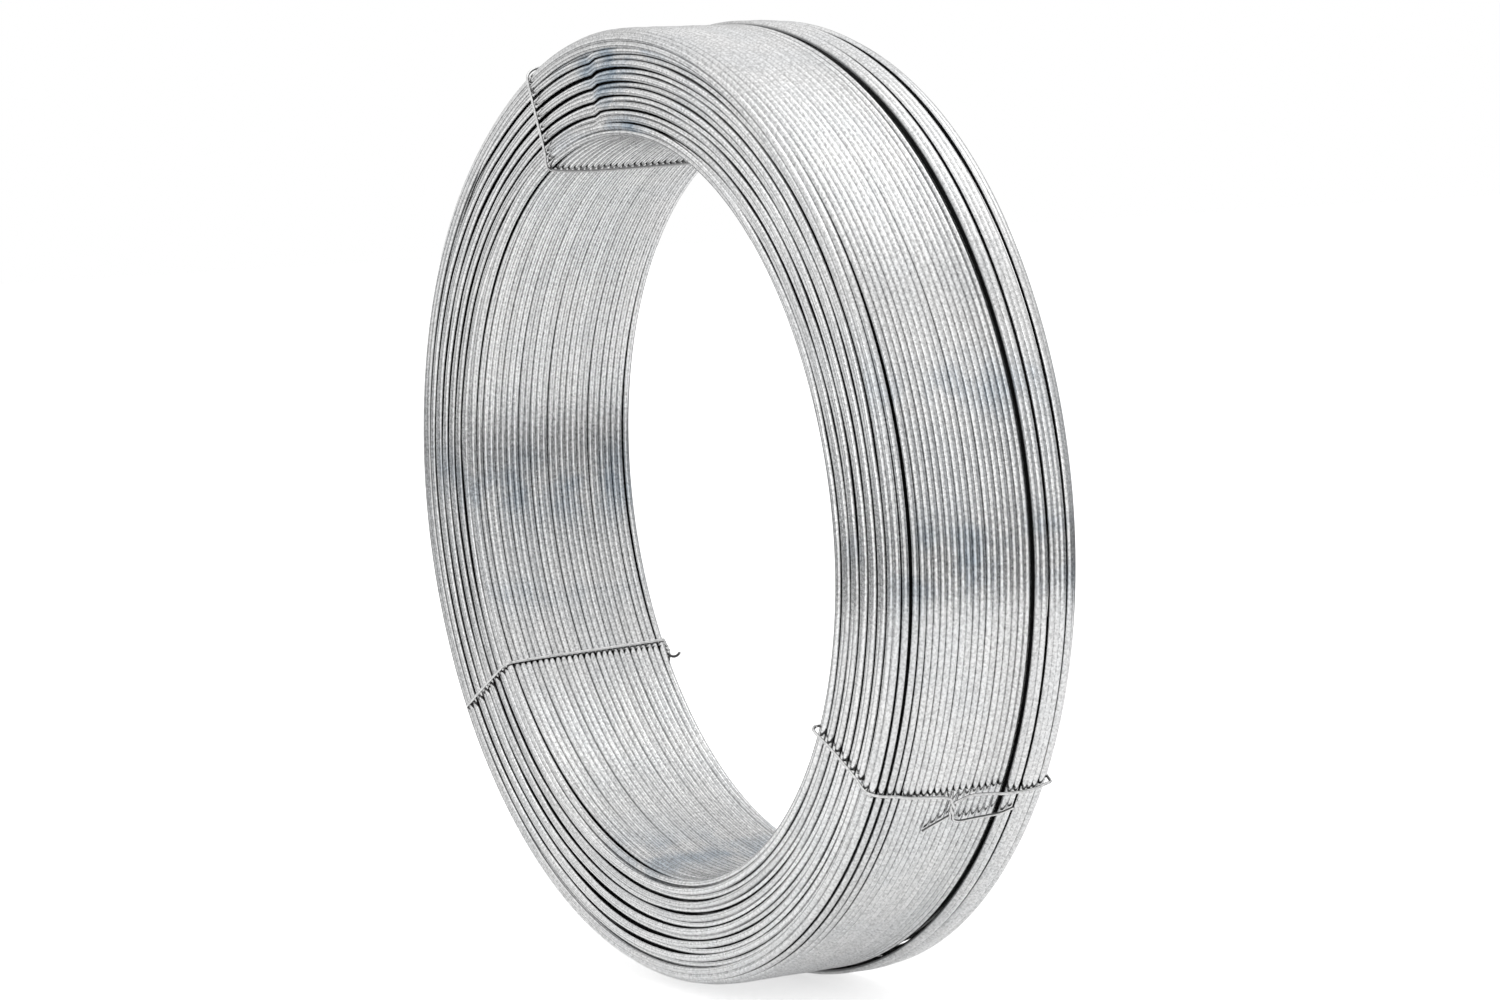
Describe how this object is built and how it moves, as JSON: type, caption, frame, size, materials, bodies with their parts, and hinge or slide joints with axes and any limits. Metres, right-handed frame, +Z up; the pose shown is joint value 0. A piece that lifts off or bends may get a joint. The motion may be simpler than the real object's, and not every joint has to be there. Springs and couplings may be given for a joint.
{
  "type": "coil of binding wire",
  "caption": "Coil of plain galvanised wire wound into a ring with an open bore, held by thin tie wires, standing on its rim.",
  "frame": {"origin": "Under the middle of the coil, on the floor that it stands on.", "axes": "+Z is up. The bore's axis lies along Y. The end that faces the camera in the picture is at -Y."},
  "size_m": [0.2726, 0.0599, 0.2725],
  "materials": {
    "coil_wire": "bright galvanised",
    "tie_wire": "bright galvanised"
  },
  "bodies": {
    "root": {"coil": "coil_wire", "top_tie": "tie_wire", "side_tie": "tie_wire", "front_tie": "tie_wire"}
  },
  "joints": []
}
